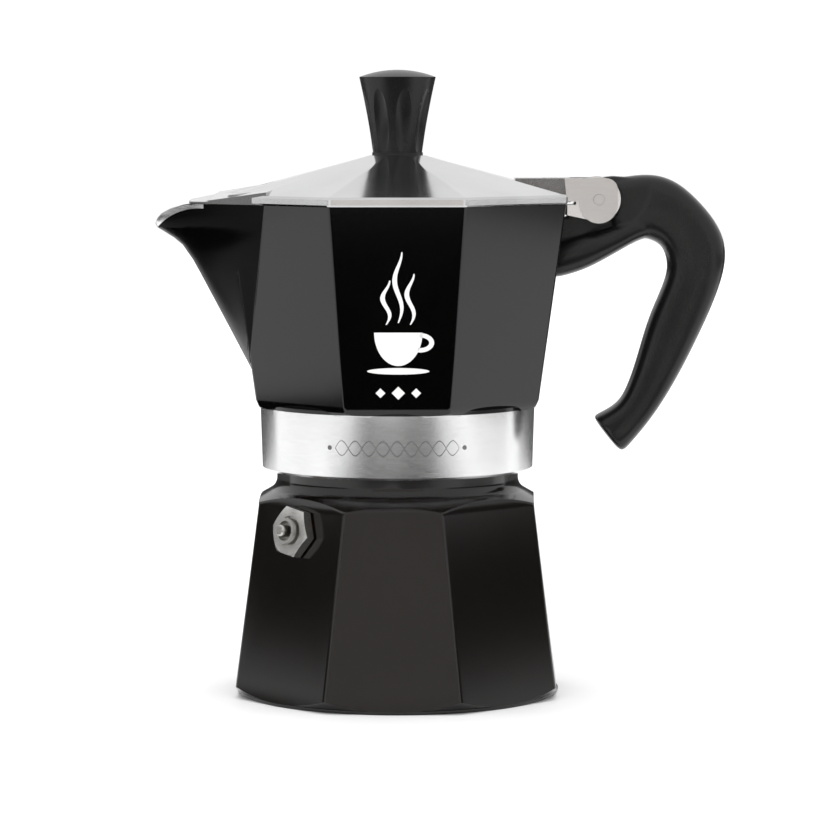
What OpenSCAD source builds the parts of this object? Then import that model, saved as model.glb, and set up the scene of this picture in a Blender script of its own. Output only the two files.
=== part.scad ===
// Stove-top coffee maker: boiler, funnel, collector with handle, and hinged lid.
// Millimetres. The axis of the pot is Z, the base stands on z = 0,
// the spout points to -X, the handle to +X and the valve sits on the -X -Y side.

/* [Boiler] */
// Width over the front and back flats at the foot
foot_w = 85.2; // [76:0.1:96]
// Width over the front and back flats at the shoulder
shoulder_w = 72.4; // [69:0.1:74]
// Radius of the turned foot
foot_r = 42.8; // [40:0.1:47]
// Height of the shoulder corners above the foot
shoulder_h = 51.8; // [44:0.1:62]
// Radius of the plain neck under the screw thread
neck_r = 32; // [30.5:0.1:32.6]
// Rise of the screw thread for one turn
thread_pitch = 2.5; // [2:0.1:3]
// Angle between the boiler's flats and the collector's when the thread is tight
boiler_turn = -1.6; // [-6:0.1:6]

/* [Collector] */
// Width over the front and back flats at the rim
rim_w = 87.8; // [80:0.1:100]
// Width over the front and back flats just above the bare band
low_w = 73.7; // [72.8:0.1:80]
// Height from the top of the bare band to the rim
collector_h = 53.6; // [45:0.1:64]
// Height of the bare band
band_h = 16.6; // [15.5:0.1:20]
// Wall thickness of the castings
wall = 2.6; // [2:0.1:3.2]
// Reach of the spout tip from the pot axis
spout_reach = 64.2; // [58:0.1:72]
// Outer radius of the coffee column
column_r = 5.2; // [4.4:0.1:6.2]

/* [Lid and handle] */
// Height of the lid roof from its rim to its crown
roof_h = 10; // [8:0.1:14]
// Radius of the knob at its widest
knob_r = 10.1; // [9.3:0.05:12]
// Height of the knob
knob_h = 21.7; // [18:0.1:26]
// Length of the knob's flutes
flute_l = 17; // [10:0.5:18]
// Width of the knob's flutes
flute_w = 5.4; // [3:0.1:5.6]
// Depth of the knob's flutes
flute_d = 1.1; // [0.5:0.05:1.4]
// Radius of the hinge pin
pin_r = 1.4; // [1.1:0.05:1.8]
// Width of the handle grip
grip_w = 13.4; // [11:0.1:16]

/* [Valve and seals] */
// Width of the valve hexagon over its flats
valve_af = 12; // [10:0.1:14]
// Height of the valve hexagon
nut_h = 2.7; // [2:0.1:4]
// Thickness of the rubber gasket
gasket_t = 3; // [2.4:0.1:3.6]

/* [Hidden] */
$fn = 96;
// corner fraction of the eight-sided outlines
foot_k = 0.4247;
shoulder_k = 0.35;
low_k = 0.364;
rim_k = 0.392;
// share of the rim half width where the spout flank leaves the slanted flat
flank_k = 0.617;
// radius of the soft edges between the flats
edge_r = 1.5;
// clearances: resting faces, turning pins, pressed parts
rest_gap = 0.1;
pin_gap = 0.06;
fit_gap = 0.02;
// boiler
foot_a = foot_w / 2;
shoulder_a = shoulder_w / 2;
band_z = shoulder_h + 7.8;
collar_z = band_z - 0.3;
mouth_z = band_z + 10.4;
mouth_r = neck_r - 3.4;
root_r = neck_r - 0.7;
crest_r = neck_r + 0.1;
// fillet between the neck and the sloping shoulder
fillet_r = 3.6;
fillet_z = shoulder_h + 5.4;
slope = tan(30);
fillet_end_r = neck_r + fillet_r - fillet_r * cos(60);
fillet_end_z = fillet_z - fillet_r * sin(60);
// seals and funnel
flange_t = 0.9;
flange_z = mouth_z + rest_gap;
gasket_z = flange_z + flange_t + rest_gap;
plate_z = gasket_z + gasket_t + rest_gap;
plate_t = 0.9;
ceiling_z = plate_z + plate_t + 0.3;
cup_r = mouth_r - 0.4;
cup_in = cup_r - 0.9;
cup_floor = mouth_z - 16;
stem_r = 3.7;
stem_in = 2.8;
// collector
band_top = band_z + band_h;
band_r = neck_r + 4.35;
skirt_r = neck_r + 1.3;
seat_r = neck_r;
rim_z = band_top + collector_h;
rim_a = rim_w / 2;
rim_c = rim_a * rim_k;
low_a = low_w / 2;
low_c = low_a * low_k;
floor_z = ceiling_z + 4.4;
boss_z = floor_z + 8;
column_wall = 2.6;
column_in = column_r - column_wall;
column_seat = floor_z + 1.2;
column_top = rim_z - 11.5;
// lid
lid_z = rim_z + rest_gap;
lid_a = rim_a + 0.4;
crown_z = lid_z + 2.4 + roof_h;
roof_in = 1.7;
collar_t = 0.8;
knob_z = crown_z + collar_t;
neck_knob = 6.5;
screw_r = 1.94;
screw_hole = 2.2;
washer_t = 0.7;
lid_seat = crown_z - roof_in - 0.8;
// hinge
hinge_x = rim_a + 8.95;
hinge_z = rim_z + 1;
tongue_half = 2.6;
lug_in = tongue_half + 0.3;
lug_out = lug_in + 2;
lug_r = 5.9;
cheek_in = lug_out + 0.3;
cheek_out = cheek_in + 2.5;
cheek_r = 4.95;
block_half = 7;
// flat round recesses in the handle beside the lid's cheeks
recess_x = hinge_x + 3.4;
recess_z = hinge_z + 2.6;
recess_y = cheek_in - 0.6;
recess_r = 10.2;
// valve: distance of the slanted flat from the axis and its tilt
flat_foot = foot_a * (1 + foot_k) / sqrt(2);
flat_top = shoulder_a * (1 + shoulder_k) / sqrt(2);
blank_low = -1;
blank_high = shoulder_h - 1.3;
tilt = atan((flat_foot - flat_top) / (blank_high - blank_low));
valve_z = shoulder_h - 6.8;
valve_d = flat_foot - (valve_z - blank_low) * tan(tilt);
valve_bore = 2.6;
shank_r = 3.95;
shank_l = 6.5;
ring_t = 0.5;
nut_z = ring_t + 0.05;
face_z = nut_z + nut_h;
boss_r = 3.4;
boss_h = 1.6;
stem_pin = 1.5;

// solid through a list of rings, each a list of points
// that runs anticlockwise when seen against the direction of travel
module loft(rings) {
  n = len(rings[0]);
  m = len(rings);
  pts = [for (ring = rings) for (p = ring) p];
  sides = [
    for (k = [0 : m - 2]) for (i = [0 : n - 1])
      let (j = (i + 1) % n)
        for (f = [
          [k * n + i, (k + 1) * n + i, (k + 1) * n + j],
          [k * n + i, (k + 1) * n + j, k * n + j]
        ]) f
  ];
  first = [for (i = [0 : n - 1]) i];
  last = [for (i = [n - 1 : -1 : 0]) (m - 1) * n + i];
  polyhedron(points = pts, faces = concat([first], sides, [last]), convexity = 8);
}

// corners of the eight-sided outline: a = half width over flats, c = half a front flat
function corners8(a, c) = [[a, -c], [a, c], [c, a], [-c, a], [-a, c], [-a, -c], [-c, -a], [c, -a]];

// eight-sided ring at height z with soft corners of radius r
function ring8(z, a, c, r = edge_r) =
  let (p = corners8(a, c), cut = r * tan(22.5))
    [
      for (i = [0 : 7])
        let (
          here = p[i],
          back = p[(i + 7) % 8] - here,
          ahead = p[(i + 1) % 8] - here,
          start = here + back / norm(back) * cut,
          finish = here + ahead / norm(ahead) * cut,
          middle = (start + finish + 1.17 * here) / 3.17
        )
          for (q = [start, middle, finish]) [q[0], q[1], z]
    ];

// signed power used for the rounded handle section
function bent(v, e) = (v < 0 ? -1 : 1) * pow(abs(v), e);

// rounded section between an upper and a lower point of a side outline
function section(s, n) = [
  for (i = [0 : n - 1])
    let (
      t = 360 * i / n,
      u = bent(cos(t), 0.72),
      v = bent(sin(t), 0.72)
    ) [
      hinge_x + (s[0] + s[2]) / 2 + u * (s[0] - s[2]) / 2,
      -v * s[4] * grip_w / 2,
      hinge_z + (s[1] + s[3]) / 2 + u * (s[1] - s[3]) / 2
    ]
];

// cylinder along Y between two y values
module bar_y(r, y0, y1) {
  translate([0, y1, 0]) rotate([90, 0, 0]) cylinder(r = r, h = y1 - y0);
}

// side outline in X and Z, spread evenly to both sides of the middle plane
module slab(half) {
  translate([0, half, 0]) rotate([90, 0, 0]) linear_extrude(height = 2 * half) children();
}

// slanted frame of the valve: local +Z points out of the boiler
module at_valve() {
  rotate([0, 0, 225 + boiler_turn]) translate([valve_d, 0, valve_z]) rotate([0, 90 - tilt, 0])
    children();
}

// --- boiler -------------------------------------------------------------

// turned outline that trims the eight-sided blank
module boiler_turning() {
  far = 70;
  step = 0.9;
  rotate_extrude() polygon([
    [0, 0], [foot_r - 0.4, 0], [foot_r, 0.4], [foot_r, step], [far, step + (far - foot_r) * 0.84],
    [far, fillet_end_z - (far - fillet_end_r) * slope],
    [fillet_end_r, fillet_end_z], [neck_r, fillet_end_z],
    [neck_r, collar_z], [root_r, collar_z + 0.7],
    [root_r, mouth_z - 0.6], [root_r - 0.6, mouth_z], [0, mouth_z]
  ]);
  rotate_extrude() difference() {
    translate([neck_r - 1, fillet_end_z - 1]) square([1 + fillet_end_r - neck_r, fillet_z - fillet_end_z + 1]);
    translate([neck_r + fillet_r, fillet_z]) circle(r = fillet_r);
  }
}

// blank with eight flat sides; it narrows from the foot to the shoulder
module boiler_blank() {
  rotate([0, 0, boiler_turn]) loft([
    ring8(blank_low, foot_a, foot_a * foot_k),
    ring8(blank_high, shoulder_a, shoulder_a * shoulder_k),
    ring8(mouth_z + 1, shoulder_a, shoulder_a * shoulder_k)
  ]);
  rotate_extrude() polygon([[0, 0], [foot_r - 0.4, 0], [foot_r, 0.4], [foot_r, 0.8], [0, 3]]);
}

module thread_ridges(r_root, r_crest, z0, count) {
  rise = thread_pitch * 0.34;
  for (i = [0 : count - 1]) {
    zc = z0 + i * thread_pitch;
    rotate_extrude() polygon([
      [r_root, zc - rise], [r_crest, zc - rise * 0.3],
      [r_crest, zc + rise * 0.3], [r_root, zc + rise]
    ]);
  }
}

module boiler() {
  color("#2b2624") difference() {
    union() {
      intersection() {
        boiler_blank();
        boiler_turning();
      }
      thread_ridges(root_r - 0.2, crest_r, collar_z + 2.6, 3);
    }
    rotate_extrude() polygon([
      [0, 3.2], [foot_a - wall - 2.2, 3.2], [foot_a - wall - 0.9, 4.5],
      [foot_a - wall - 1, 7], [shoulder_a - wall - 1.9, shoulder_h - 4.5],
      [mouth_r, shoulder_h], [mouth_r, mouth_z + 2], [0, mouth_z + 2]
    ]);
    at_valve() translate([0, 0, -9]) cylinder(r = shank_r + pin_gap, h = 14);
  }
}

module valve_body() {
  color("#8d8a80") at_valve() difference() {
    union() {
      intersection() {
        rotate([0, 0, 21]) translate([0, 0, nut_z]) cylinder(r = valve_af / sqrt(3), h = nut_h, $fn = 6);
        rotate_extrude() polygon([
          [0, nut_z - 1], [valve_af, nut_z - 1], [valve_af, face_z - 2.4],
          [valve_af / 2 - 0.1, face_z], [0, face_z]
        ]);
      }
      translate([0, 0, face_z - 0.1]) cylinder(r = boss_r, h = boss_h + 0.1);
      translate([0, 0, -shank_l]) cylinder(r = shank_r, h = shank_l + nut_z + 0.2);
    }
    translate([0, 0, nut_z + 1.7]) cylinder(r = valve_bore, h = nut_h + boss_h);
    translate([0, 0, -shank_l - 1]) cylinder(r = valve_bore, h = shank_l + 2);
    cylinder(r = stem_pin + pin_gap, h = face_z);
    translate([0, 0, face_z - 0.8]) difference() {
      cylinder(r = boss_r + 0.6, h = 1);
      translate([0, 0, -1]) cylinder(r = boss_r, h = 3);
    }
  }
}

module valve_washer() {
  color("#9c5a2c") at_valve() translate([0, 0, 0.02]) difference() {
    cylinder(r = valve_af / 2 - 0.5, h = ring_t);
    translate([0, 0, -1]) cylinder(r = shank_r + pin_gap, h = 3);
  }
}

module valve_seat() {
  color("#8d8a80") at_valve() translate([0, 0, 0.1 - shank_l]) difference() {
    cylinder(r = valve_bore - fit_gap, h = 1.5);
    translate([0, 0, -1]) cylinder(r = 1.1, h = 4);
  }
}

module valve_pin() {
  color("#b9b4a6") at_valve() {
    translate([0, 0, -4.8]) cylinder(r = valve_bore - 0.3, h = 1);
    translate([0, 0, -4]) cylinder(r = stem_pin, h = 4 + face_z + boss_h + 1.4);
    translate([0, 0, face_z + boss_h + 1.4]) cylinder(r1 = stem_pin, r2 = stem_pin - 0.4, h = 0.4);
  }
}

module valve_spring() {
  coils = 3.5;
  wire = 0.22;
  mid_r = (stem_pin + valve_bore) / 2;
  low = -2.3;
  high = 0.7;
  steps = 56;
  color("#c9c9c9") at_valve() loft([
    for (k = [0 : steps])
      let (a = 360 * coils * k / steps, z = low + (high - low) * k / steps)
        [
          for (i = [0 : 7])
            let (b = -45 * i)
              [(mid_r + wire * cos(b)) * cos(a), (mid_r + wire * cos(b)) * sin(a), z + wire * sin(b)]
        ]
  ]);
}

// --- funnel and seals -----------------------------------------------------

module funnel() {
  cone_z = cup_floor - 10;
  color("#c4c6c8") rotate_extrude() polygon([
    [stem_in, 7], [stem_r, 7.6], [stem_r, cone_z], [cup_r - 2.4, cup_floor - 1.6],
    [cup_r, cup_floor - 0.4], [cup_r, flange_z], [cup_r + 2.4, flange_z],
    [cup_r + 2.4, flange_z + flange_t], [cup_in, flange_z + flange_t],
    [cup_in, cup_floor], [cup_in - 1.4, cup_floor], [cup_in - 2, cup_floor - 0.9],
    [stem_in, cone_z]
  ]);
}

// rings of holes: the ring number times six holes on each
module hole_rings(count, gap, r) {
  cylinder(r = r, h = 4, center = true);
  for (k = [1 : count]) for (i = [0 : 6 * k - 1])
    rotate([0, 0, 60 * i / k]) translate([k * gap, 0, 0]) cylinder(r = r, h = 4, center = true);
}

module funnel_plate() {
  color("#b8babc") translate([0, 0, cup_floor + 0.02]) difference() {
    cylinder(r = cup_in - fit_gap, h = 0.7);
    hole_rings(4, cup_in / 5, 0.8);
  }
}

module gasket() {
  color("#d9d4c8") rotate_extrude()
    translate([seat_r - 5.4, gasket_z]) square([5.1, gasket_t]);
}

module filter_plate() {
  color("#b8babc") translate([0, 0, plate_z]) difference() {
    cylinder(r = seat_r - 0.6, h = plate_t);
    hole_rings(5, (seat_r - 6.5) / 5.6, 0.7);
  }
}

// --- collector --------------------------------------------------------------

spout_levels = [1, 0.86, 0.74, 0.62, 0.5, 0.4, 0.33, 0.28, 0.24, 0.2, 0.17, 0.14, 0.11, 0.06, 0];

// reach of the keel line for a drop below the rim, as a share of the collector height
function keel(d) =
  let (tip = spout_reach - rim_a, u = d * 53.6)
    u > 15.5 ? rim_a - 6.7 + (46.8 - u) * 0.53 * (tip - 3) / 17.3 :
    u > 10.2 ? rim_a + tip * (0.4876 + (15.5 - u) * 0.0342) :
    u > 6 ? rim_a + tip * (0.669 + (10.2 - u) * 0.0788) : rim_a + tip;

// horizontal ring of the spout: root corners, flank and keel; inset makes the channel
function spout_ring(d, inset) =
  let (
    z = rim_z - d * collector_h,
    root = (rim_a * flank_k - inset * 1.3) * max(0.03, d < 0.62 ? 1 - d * 0.62 : (1 - d) * 1.62),
    kx = keel(d) - inset * 1.25,
    jx = min(kx - 0.5, rim_a - 9.9 + 6.2 * d - inset),
    nose = min(root * 0.6, 5.2 - 2 * d),
    back = rim_a * 0.45
  ) [
    [-back, -root, z],
    [-back, root, z],
    for (i = [0 : 9]) let (t = i / 9)
      [
        -(jx * (1 - t) * (1 - t) + 2 * kx * t * (1 - t) + kx * t * t),
        root * (1 - t) * (1 - t) + 2 * nose * t * (1 - t),
        z
      ],
    for (i = [8 : -1 : 0]) let (t = i / 9)
      [
        -(jx * (1 - t) * (1 - t) + 2 * kx * t * (1 - t) + kx * t * t),
        -root * (1 - t) * (1 - t) - 2 * nose * t * (1 - t),
        z
      ]
  ];

// pouring lip: everything above this side outline is cut away
module lip_cut() {
  t = spout_reach;
  slab(40) polygon([
    [-t - 8, rim_z - 8], [-t + 0.1, rim_z - 5.6], [-t + 0.8, rim_z - 4], [-t + 2, rim_z - 2.7],
    [-t + 4, rim_z - 1.6], [-t + 7.2, rim_z - 0.7], [-t + 12, rim_z],
    [-t + 12, rim_z + 8], [-t - 8, rim_z + 8]
  ]);
}

module spout(inset, top) {
  loft([
    for (k = [0 : len(spout_levels) - 1]) spout_ring(spout_levels[k] * 0.855, inset),
    [for (p = spout_ring(0, inset)) [p[0], p[1], rim_z + top]]
  ]);
}

// eight-sided outside of the collector with rounded lower edges
module collector_blank() {
  loft([
    ring8(band_top - 0.3, low_a - 1.2, low_c - 0.45),
    ring8(band_top + 0.8, low_a - 0.45, low_c - 0.2),
    ring8(band_top + 2.4, low_a + 0.2, low_c + 0.1),
    ring8(rim_z, rim_a, rim_c)
  ]);
}

// rounded corner under the eight sides where they meet the round band
module collector_turning() {
  edge = 4.6;
  rotate_extrude() difference() {
    translate([0, band_top - 0.3]) square([rim_a + 12, collector_h + 1]);
    difference() {
      translate([band_r, band_top - 1]) square([rim_a, edge + 1]);
      translate([band_r, band_top + edge]) circle(r = edge);
      translate([band_r - 2, band_top]) square([2, edge]);
    }
  }
}

module collector_cavity() {
  loft([
    ring8(floor_z, low_a - wall - 1.6, low_c - 1.6),
    ring8(floor_z + 1.6, low_a - wall + 0.3, low_c - 1),
    ring8(rim_z + 1, rim_a - wall + 0.1, rim_c - 1)
  ]);
}

// two lugs that hold the hinge pin
module collector_lugs() {
  difference() {
    slab(lug_out) {
      polygon([
        [rim_a - 2, rim_z - 0.5], [rim_a - 2, rim_z - 2.6], [rim_a + 1, rim_z - 3.2],
        [hinge_x - 2.3, hinge_z - 5.4], [hinge_x, hinge_z], [hinge_x - 5.8, hinge_z - 0.6],
        [hinge_x - 5.9, rim_z - 0.4]
      ]);
      translate([hinge_x, hinge_z]) circle(r = lug_r);
    }
    slab(lug_in) translate([rim_a + 0.3, rim_z - 12]) square([30, 40]);
    translate([hinge_x, 0, hinge_z]) bar_y(pin_r + fit_gap, -12, 12);
  }
}

module collector() {
  tongue_x = rim_a - 3;
  color("#1d1c1c") {
    difference() {
      union() {
        intersection() {
          collector_blank();
          collector_turning();
        }
        difference() {
          spout(0, 0);
          lip_cut();
        }
        rotate_extrude() polygon([
          [0, ceiling_z + 0.5], [0, band_top + 1], [band_r, band_top + 1], [band_r, band_top],
          [band_r - 0.5, band_z + 0.6], [band_r - 1.1, band_z], [skirt_r - 3, band_z],
          [skirt_r - 3, ceiling_z + 0.5]
        ]);
        translate([tongue_x - 3, -2.4, rim_z - 17.6]) cube([6.6, 4.8, 5]);
      }
      difference() {
        union() {
          collector_cavity();
          difference() {
            spout(wall - 0.2, 1);
            translate([-100, -50, 0]) cube([200, 100, floor_z + 1]);
          }
        }
        rotate_extrude() polygon([
          [0, floor_z - 2], [12, floor_z - 2], [12, floor_z], [column_r + 3, floor_z + 3],
          [column_r + 2.2, boss_z - 0.5], [column_r + 1.7, boss_z], [0, boss_z]
        ]);
      }
      rotate_extrude() polygon([
        [0, band_z - 1], [skirt_r + 1, band_z - 1], [skirt_r, band_z + 1],
        [skirt_r, mouth_z - 0.4], [seat_r, mouth_z + 0.4], [seat_r, ceiling_z],
        [seat_r - 4.5, ceiling_z], [seat_r - 5.5, ceiling_z + 0.6], [column_in + 3, floor_z - 2.2],
        [column_in + 0.2, floor_z - 1.4], [column_in + 0.2, column_seat], [0, column_seat]
      ]);
      translate([0, 0, column_seat]) cylinder(r = column_r + fit_gap, h = 40);
    }
    thread_ridges(skirt_r + 0.2, crest_r + 0.35, band_z + 2.3, 3);
    collector_lugs();
  }
}

module column() {
  color("#b8babc") translate([0, 0, column_seat]) difference() {
    rotate_extrude() polygon([
      [column_in, 0], [column_r, 0], [column_r, 9], [column_r - 0.8, column_top - column_seat - 1],
      [column_r - 1.2, column_top - column_seat], [column_in, column_top - column_seat]
    ]);
    translate([-2, -10, column_top - column_seat - 7]) cube([4, 20, 5]);
  }
}

module column_cap() {
  color("#c4c6c8") translate([0, 0, column_top - 2]) {
    cylinder(r = column_in - fit_gap, h = 2.2);
    translate([0, 0, 2.05]) cylinder(r1 = column_r - 1.2, r2 = column_r - 2, h = 0.9);
  }
}

module hinge_pin() {
  color("#c9c9c9") translate([hinge_x, 0, hinge_z]) bar_y(pin_r, -cheek_out - 0.3, cheek_out + 0.3);
}

// --- handle -----------------------------------------------------------------

// outer point, inner point (both from the hinge pin) and relative half width
grip_path = [
  [7.9, 6.1, 7.9, -8.3, 0.86], [11.2, 6.5, 9.8, -9.4, 0.9], [14.7, 6.5, 11.8, -10.1, 0.93],
  [18.5, 5.7, 13.8, -10.6, 0.95], [22.1, 3.7, 15.7, -11.4, 0.97], [26.4, -0.2, 17.2, -12.8, 0.99],
  [30.4, -4.7, 18.1, -14.8, 1], [33, -9.3, 18.5, -17, 1], [34, -13.8, 18.4, -19.3, 1],
  [33.4, -19, 17.6, -22, 1], [31.6, -24.8, 16.2, -25.5, 1], [29.3, -30.8, 14.3, -29.8, 0.99],
  [26.5, -36.8, 12.6, -34.8, 0.97], [23.5, -43, 11.2, -39.8, 0.95], [20.4, -48.8, 9.8, -44.6, 0.93],
  [17.3, -54, 8.4, -48.6, 0.92], [14.2, -58.5, 6.9, -52, 0.92], [11.4, -62, 5, -54.3, 0.94],
  [9, -64.8, 2.4, -55.9, 0.96], [7.2, -66.6, -0.3, -57.3, 0.94], [5.5, -66.5, -1.4, -57.8, 0.88]
];
branch_path = [
  [-13, -12.4, -13.5, -21.3, 0.8], [-6.3, -9.6, -6.4, -19.7, 0.82], [-2.4, -8.5, -1.9, -18, 0.84],
  [1.6, -7.7, 2.6, -15.5, 0.86], [5.6, -6.8, 7.2, -12.9, 0.87], [9.6, -4.8, 11, -10.8, 0.88],
  [14, -2.8, 15, -9.8, 0.7]
];

module handle() {
  color("#1a1a1a") difference() {
    union() {
      loft([for (s = grip_path) section(s, 24)]);
      loft([for (s = branch_path) section(s, 24)]);
      slab(tongue_half) {
        translate([hinge_x, hinge_z]) circle(r = 5.6);
        translate([hinge_x, hinge_z]) polygon([
          [-12, -17], [-12, -4.8], [-8.2, -4.8], [-4, 3.5], [0, 5.6], [3.9, 6.1], [9, 6.1],
          [10, -8], [2, -14]
        ]);
      }
    }
    for (side = [-1, 1]) translate([recess_x, side * (recess_y + 10), recess_z])
      bar_y(recess_r, -10, 10);
    slab(20) polygon([
      [0, band_top], [low_a + 0.25, band_top], [rim_a + 0.12, rim_z], [rim_a + 0.12, rim_z + 2],
      [0, rim_z + 2]
    ]);
    translate([rim_a - 8, -2.5, rim_z - 17.7]) cube([8.8, 5, 5.2]);
    translate([hinge_x, 0, hinge_z]) bar_y(pin_r + fit_gap, -12, 12);
  }
}

// --- lid --------------------------------------------------------------------

// raised cover over the spout: ridge and side edges, lowered and inset by t
module lid_cover(t) {
  root_x = rim_a - 10.2;
  root_y = rim_a * flank_k;
  front_x = rim_a + 5.3;
  front_y = rim_a * flank_k * 0.56;
  hull() {
    translate([0, 0, lid_z - t]) linear_extrude(height = 0.9) polygon([
      [-root_x + t, root_y - 1.5 * t], [-root_x + t, t * 1.5 - root_y],
      [t - front_x, t * 1.5 - front_y], [t - front_x - 0.8, 0], [t - front_x, front_y - 1.5 * t]
    ]);
    translate([0, 0, lid_z + 3.2 - t]) linear_extrude(height = 0.1) polygon([
      [-root_x + t, 1.5 * t - root_y], [-root_x + t, root_y - 1.5 * t], [-root_x + 8, 0]
    ]);
    translate([0, 0, lid_z + 2.7 - t]) linear_extrude(height = 0.1)
      polygon([[t - front_x + 2, -1.5], [t - front_x + 2, 1.5], [-root_x, 0]]);
    translate([0, 0, lid_z + 5.7 - t]) linear_extrude(height = 0.1)
      polygon([[5 - root_x, -1.5], [5 - root_x, 1.5], [7 - root_x, 0]]);
  }
}

// thin front lip of the cover
module lid_beak() {
  back_x = rim_a + 3.6;
  tip_x = spout_reach - 9.7;
  back_y = rim_a * flank_k * 0.56;
  tip_y = rim_a * flank_k * 0.36;
  hull() {
    translate([0, 0, lid_z]) linear_extrude(height = 0.5) polygon([
      [-back_x, -back_y], [-back_x - 2.6, -back_y + 1.2], [-tip_x, -tip_y], [-tip_x - 0.5, 0],
      [-tip_x, tip_y], [-back_x - 2.6, back_y - 1.2], [-back_x, back_y]
    ]);
    translate([0, 0, lid_z + 1.9]) linear_extrude(height = 0.3)
      polygon([[-back_x, -2], [-back_x, 2], [-back_x - 0.6, 0]]);
    translate([0, 0, lid_z + 0.7]) linear_extrude(height = 0.2)
      polygon([[1 - tip_x, -2.5], [1 - tip_x, 2.5], [0.2 - tip_x, 0]]);
  }
}

// flat block and two cheeks that carry the lid on the hinge pin
module lid_hinge() {
  x1 = rim_a;
  difference() {
    union() {
      slab(block_half) polygon([
        [x1 - 13, hinge_z + 5.6], [x1 + 1.6, hinge_z + 5.6], [x1 + 1.6, lid_z + 0.2],
        [x1 - 1.2, lid_z + 0.2], [x1 - 1.8, lid_z + 2.2], [x1 - 13, lid_z + 5]
      ]);
      slab(cheek_out) {
        translate([x1 - 0.1, lid_z + 0.4]) square([hinge_x + 2 - x1, hinge_z + 5.2 - lid_z]);
        translate([hinge_x - cheek_r, hinge_z - 1.3]) square([2 * cheek_r, 3.9]);
        translate([hinge_x, hinge_z - 1.3]) circle(r = cheek_r);
        translate([hinge_x + cheek_r - 3, hinge_z + 2.6]) circle(r = 3);
      }
    }
    slab(cheek_in) translate([x1 + 1.6, hinge_z - 12]) square([30, 30]);
    translate([hinge_x, 0, hinge_z]) bar_y(pin_r + pin_gap, -12, 12);
  }
}

module lid() {
  color("#cfd0d1") difference() {
    union() {
      difference() {
        loft([
          ring8(lid_z, lid_a - 0.3, lid_a * rim_k - 0.2),
          ring8(lid_z + 0.4, lid_a, lid_a * rim_k),
          ring8(lid_z + 1.8, lid_a, lid_a * rim_k),
          ring8(lid_z + 2.4, lid_a - 0.5, lid_a * rim_k - 0.2),
          ring8(crown_z - 1.5, 12.6, 12.6 * rim_k),
          ring8(crown_z, 7.4, 7.4 * rim_k)
        ]);
        loft([
          ring8(lid_z - 1, lid_a - 2, (lid_a - 2) * rim_k),
          ring8(lid_z + 1.4, lid_a - 2.2, (lid_a - 2.2) * rim_k),
          ring8(crown_z - 1.5 - roof_in, 12, 12 * rim_k),
          ring8(crown_z - roof_in, 7.2, 7.2 * rim_k)
        ]);
      }
      difference() {
        union() {
          lid_cover(0);
          lid_beak();
        }
        lid_cover(1.7);
      }
      lid_hinge();
      translate([0, 0, lid_seat]) cylinder(r = 7.2, h = crown_z - lid_seat);
    }
    translate([0, 0, crown_z - 10]) cylinder(r = screw_hole, h = 20);
  }
}

module knob_collar() {
  color("#9a9a9a") translate([0, 0, crown_z + 0.02]) difference() {
    cylinder(r = neck_knob + 0.2, h = collar_t - 0.04);
    translate([0, 0, -1]) cylinder(r = screw_hole, h = 4);
  }
}

// hollow that narrows to a point at both ends
module flute(mid_r, lean) {
  bow_r = (flute_l * flute_l / 4 + flute_d * flute_d) / (2 * flute_d);
  tube_r = (flute_w * flute_w / 4 + flute_d * flute_d) / (2 * flute_d);
  rotate([0, lean, 0]) translate([mid_r - flute_d + bow_r, 0, 0])
    rotate([90, 0, 0]) rotate_extrude() translate([bow_r - tube_r, 0]) circle(r = tube_r);
}

module knob() {
  dome = 1.9;
  dome_r = (knob_r * knob_r + dome * dome) / (2 * dome);
  side_h = knob_h - dome;
  lean = atan((knob_r - neck_knob) / side_h);
  waist = 0.25;
  hollow_r = 220;
  color("#1a1a1a") translate([0, 0, knob_z]) difference() {
    rotate_extrude() difference() {
      intersection() {
        square([knob_r, knob_h]);
        translate([0, knob_h - dome_r]) circle(r = dome_r, $fn = 360);
        polygon([[0, 0], [neck_knob, 0], [knob_r, side_h], [knob_r, knob_h], [0, knob_h]]);
      }
      translate([
        (neck_knob + knob_r) / 2 - waist + hollow_r * cos(lean),
        side_h / 2 - hollow_r * sin(lean)
      ]) circle(r = hollow_r, $fn = 720);
    }
    for (i = [0 : 7]) rotate([0, 0, 45 * i + 12]) translate([0, 0, side_h / 2])
      flute((neck_knob + knob_r) / 2 - waist, lean);
    translate([0, 0, -1]) cylinder(r = screw_r + fit_gap, h = 13);
  }
}

module screw_washer() {
  color("#c9c9c9") translate([0, 0, lid_seat - fit_gap - washer_t]) difference() {
    cylinder(r = 5, h = washer_t);
    translate([0, 0, -1]) cylinder(r = screw_hole - 0.1, h = 3);
  }
}

module knob_screw() {
  head_r = 3.6;
  color("#b9b9b9") translate([0, 0, lid_seat - washer_t - 2 * fit_gap]) difference() {
    union() {
      translate([0, 0, -1.4]) cylinder(r = head_r, h = 1.4);
      translate([0, 0, -2]) cylinder(r1 = head_r - 0.8, r2 = head_r, h = 0.6);
      translate([0, 0, -0.2]) cylinder(r = screw_r, h = 14);
    }
    translate([-0.5, -5, -2.5]) cube([1, 10, 1.4]);
  }
}

boiler();
valve_body();
valve_washer();
valve_seat();
valve_pin();
valve_spring();
funnel();
funnel_plate();
gasket();
filter_plate();
collector();
column();
column_cap();
hinge_pin();
handle();
lid();
knob_collar();
knob();
knob_screw();
screw_washer();
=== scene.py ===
"""Stove-top coffee maker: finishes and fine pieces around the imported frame."""

import logging
import math
from dataclasses import dataclass
from enum import Enum

import bpy
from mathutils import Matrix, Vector
from mathutils.kdtree import KDTree

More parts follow.
